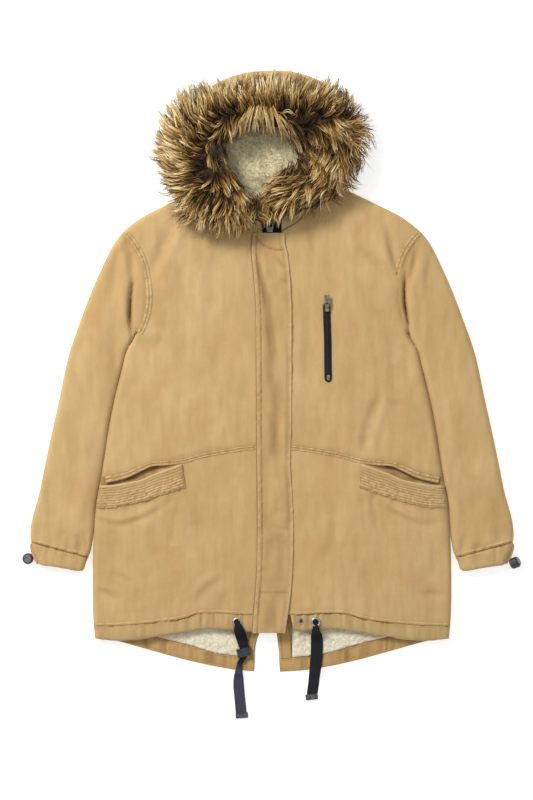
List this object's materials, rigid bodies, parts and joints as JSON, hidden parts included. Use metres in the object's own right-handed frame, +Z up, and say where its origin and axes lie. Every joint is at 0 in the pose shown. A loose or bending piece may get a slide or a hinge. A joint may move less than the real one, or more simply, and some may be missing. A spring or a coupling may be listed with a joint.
{
  "type": "fur trimmed parka, laid flat",
  "caption": "Tan cotton parka laid flat face up, with a fur trimmed hood, storm flap, welt pockets, a chest zip and a fishtail hem with black tapes.",
  "frame": {"origin": "on the ground under the point where the front closure crosses the waist seam", "axes": "+Z up from the ground, +Y from the hem to the hood, +X to the wearer's left"},
  "size_m": [0.8999, 1.1702, 0.076],
  "materials": {
    "cotton": "matt washed cotton, tan",
    "pile": "matt cream pile",
    "fur": "long brown and cream faux fur",
    "tape": "matt black woven tape",
    "plastic": "matt black",
    "dark_metal": "gunmetal",
    "bright_metal": "worn nickel"
  },
  "bodies": {
    "coat": {"back_panel": "cotton", "chest_zip_slider": "dark_metal", "chest_zip_stop": "dark_metal", "chest_zip_tape": "tape", "cuff_left": "cotton", "cuff_lock_left": "plastic", "cuff_lock_right": "plastic", "cuff_right": "cotton", "front_lower_left": "cotton", "front_lower_right": "cotton", "front_upper_left": "cotton", "front_upper_right": "cotton", "fur_trim": "fur", "hem_band_left": "cotton", "hem_band_right": "cotton", "hem_eyelet_left": "bright_metal", "hem_eyelet_right": "bright_metal", "hem_snap_stud": "bright_metal", "hem_tape_left": "tape", "hem_tape_right": "tape", "hood_lining": "pile", "hood_shell": "cotton", "main_zip_slider": "dark_metal", "main_zip_tape": "tape", "pocket_welt_left": "cotton", "pocket_welt_right": "cotton", "sleeve_left": "cotton", "sleeve_right": "cotton", "storm_flap": "cotton", "tail_band_left": "cotton", "tail_band_right": "cotton", "tail_lining_left": "pile", "tail_lining_right": "pile", "tape_clip_left": "dark_metal", "tape_clip_right": "dark_metal", "tape_slide_right": "plastic", "vent_facing_left": "cotton", "vent_facing_right": "cotton"},
    "main_pull": {"main_zip_pull": "bright_metal"},
    "chest_pull": {"chest_zip_pull": "dark_metal"},
    "right_button": {"cuff_button_right": "dark_metal"},
    "left_button": {"cuff_button_left": "dark_metal"}
  },
  "joints": [
    {"name": "main_pull_hinge", "type": "hinge", "parent": "coat", "child": "main_pull", "pos_m": [-0.004, 0.3902, 0.0287], "axis": [1, 0, 0], "range_deg": [0, 165]},
    {"name": "chest_pull_hinge", "type": "hinge", "parent": "coat", "child": "chest_pull", "pos_m": [0.099, 0.252, 0.0321], "axis": [1, 0, 0], "range_deg": [0, 165]},
    {"name": "right_button_slide", "type": "slide", "parent": "coat", "child": "right_button", "axis": [0, 0, -1], "range_m": [0, 0.0028], "stiffness_N_per_m": 400, "springref_m": -0.002},
    {"name": "left_button_slide", "type": "slide", "parent": "coat", "child": "left_button", "axis": [-0.8605, -0.3602, -0.3602], "range_m": [0, 0.0028], "stiffness_N_per_m": 400, "springref_m": -0.002}
  ]
}
